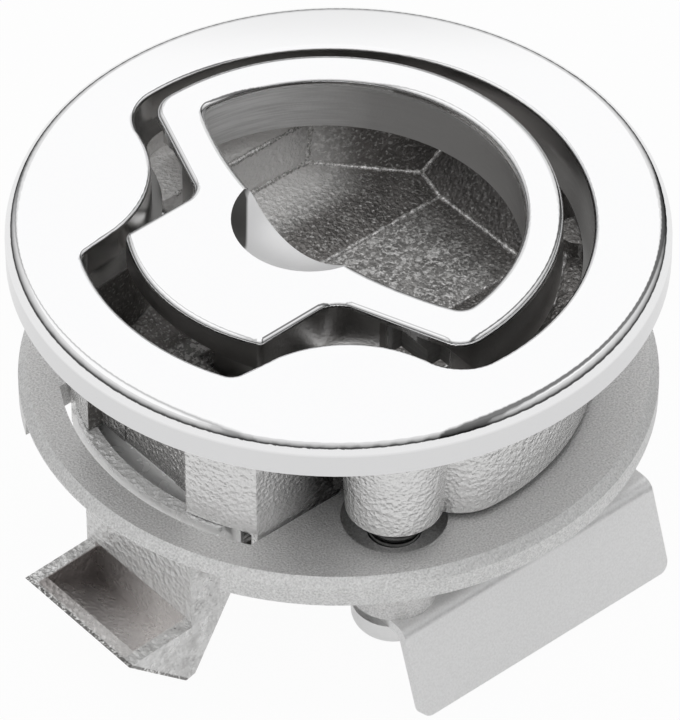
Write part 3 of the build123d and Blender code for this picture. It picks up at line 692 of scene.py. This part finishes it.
def add_bead(vertices, faces, corners):
    """An uneven tube along the corners. Its thickness wanders along it and its skin is lumpy."""
    rings = 0
    first = len(vertices)
    for start, end in zip(corners, corners[1:]):
        along = end - start
        steps = max(2, round(along.length / BEAD_STEP))
        ahead = along.normalized()
        across = ahead.cross(Vector((0, 0, 1)))
        across = (across if across.length > 0.1 else Vector((1, 0, 0))).normalized()
        upward = across.cross(ahead)
        for count in range(steps + 1):
            middle = start + along * (count / steps)
            thick = BEAD_RADIUS * (BEAD_MEAN + BEAD_WANDER * noise.noise(middle * BEAD_WANDER_RATE))
            for turn in range(BEAD_SIDES):
                angle = 2 * math.pi * turn / BEAD_SIDES
                bump = thick * (1 + BEAD_LUMPS * noise.noise((middle + ahead * turn) * BEAD_LUMP_RATE))
                vertices.append(middle + (across * math.cos(angle) + upward * math.sin(angle)) * bump)
            rings += 1
    join_rings(faces, first, rings, BEAD_SIDES)


def paint(material, *nodes):
    for node in nodes:
        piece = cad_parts[node]
        piece.data.materials.clear()
        piece.data.materials.append(material)


def make_floor():
    """A pale floor that keeps the part's shadow and glows white to the camera and in reflections."""
    low = cad_box[0][2] - FLOOR_DROP
    bpy.ops.mesh.primitive_plane_add(size=FLOOR_SIZE, location=(0, 0, low))
    floor = bpy.context.object
    floor.name = "floor"
    material = bpy.data.materials.new("floor_white")
    material.use_nodes = True
    nodes = material.node_tree.nodes
    links = material.node_tree.links
    shader = nodes["Principled BSDF"]
    shader.inputs["Base Color"].default_value = (0.8, 0.8, 0.8, 1)
    shader.inputs["Roughness"].default_value = 0.9
    glow = nodes.new("ShaderNodeEmission")
    glow.inputs["Strength"].default_value = 1.0
    seen = nodes.new("ShaderNodeLightPath")
    reflected = nodes.new("ShaderNodeMath")
    reflected.operation = "MULTIPLY"
    reflected.inputs[1].default_value = FLOOR_GLOW_REFLECTED
    share = nodes.new("ShaderNodeMath")
    share.operation = "MULTIPLY_ADD"
    share.inputs[1].default_value = FLOOR_GLOW_SEEN
    blend = nodes.new("ShaderNodeMixShader")
    links.new(seen.outputs["Is Glossy Ray"], reflected.inputs[0])
    links.new(seen.outputs["Is Camera Ray"], share.inputs[0])
    links.new(reflected.outputs[0], share.inputs[2])
    links.new(share.outputs[0], blend.inputs[0])
    links.new(shader.outputs[0], blend.inputs[1])
    links.new(glow.outputs[0], blend.inputs[2])
    links.new(blend.outputs[0], nodes["Material Output"].inputs["Surface"])
    floor.data.materials.append(material)


def grey_ramp(nodes, stops):
    ramp = nodes.new("ShaderNodeValToRGB")
    while len(ramp.color_ramp.elements) < len(stops):
        ramp.color_ramp.elements.new(0.5)
    for element, (position, level) in zip(ramp.color_ramp.elements, stops):
        element.position = position
        element.color = (level, level, level, 1)
    return ramp


def make_world():
    """White to the camera. For the part it is a bright sky over a dark band, with two dark cards."""
    world = bpy.data.worlds.new("studio")
    bpy.context.scene.world = world
    world.use_nodes = True
    nodes = world.node_tree.nodes
    links = world.node_tree.links
    background = nodes["Background"]
    place = nodes.new("ShaderNodeTexCoord")
    split = nodes.new("ShaderNodeSeparateXYZ")
    links.new(place.outputs["Generated"], split.inputs[0])
    sky = grey_ramp(nodes, SKY_STOPS)
    links.new(split.outputs["Z"], sky.inputs[0])

    heading = math.radians(LOOP_HEADING)
    sideways = nodes.new("ShaderNodeVectorMath")
    sideways.operation = "DOT_PRODUCT"
    sideways.inputs[1].default_value = (math.cos(heading), -math.sin(heading), 0)
    links.new(place.outputs["Generated"], sideways.inputs[0])
    spread = nodes.new("ShaderNodeMapRange")
    spread.inputs["From Min"].default_value = -1.0
    links.new(sideways.outputs["Value"], spread.inputs["Value"])
    card = grey_ramp(nodes, CARD_STOPS)
    links.new(spread.outputs["Result"], card.inputs[0])

    carded = nodes.new("ShaderNodeMix")
    carded.data_type = "RGBA"
    carded.blend_type = "MULTIPLY"
    carded.inputs["Factor"].default_value = 1.0
    links.new(sky.outputs[0], carded.inputs[6])
    links.new(card.outputs[0], carded.inputs[7])
    seen = nodes.new("ShaderNodeLightPath")
    blend = nodes.new("ShaderNodeMix")
    blend.data_type = "RGBA"
    blend.inputs[7].default_value = (1, 1, 1, 1)
    links.new(seen.outputs["Is Camera Ray"], blend.inputs["Factor"])
    links.new(carded.outputs[2], blend.inputs[6])
    links.new(blend.outputs[2], background.inputs["Color"])
    background.inputs["Strength"].default_value = 1.0


make_camera()
make_world()
make_floor()

cast_body = body_finish()
paint(cast_body, "latch_body")
paint(handle_finish(), "lift_handle")
paint(ring_finish(), "backing_ring")
paint(bolt_finish(), "slam_bolt")
paint(bracket_finish(), "strike_bracket")
paint(
    turned_finish(),
    "handle_pivot_pin", "guide_rod_left", "guide_rod_right",
    "clamp_screw_front", "clamp_screw_rear", "rear_washer",
)
cup_beads()
window_foot(cast_body)
wire = wire_finish()
paint(wire, "handle_spring_left", "handle_spring_right", "bolt_spring_left", "bolt_spring_right")
bolt_coil("bolt_coil_left", "bolt_spring_left", wire)
bolt_coil("bolt_coil_right", "bolt_spring_right", wire)

bpy.context.scene.view_settings.view_transform = "Standard"
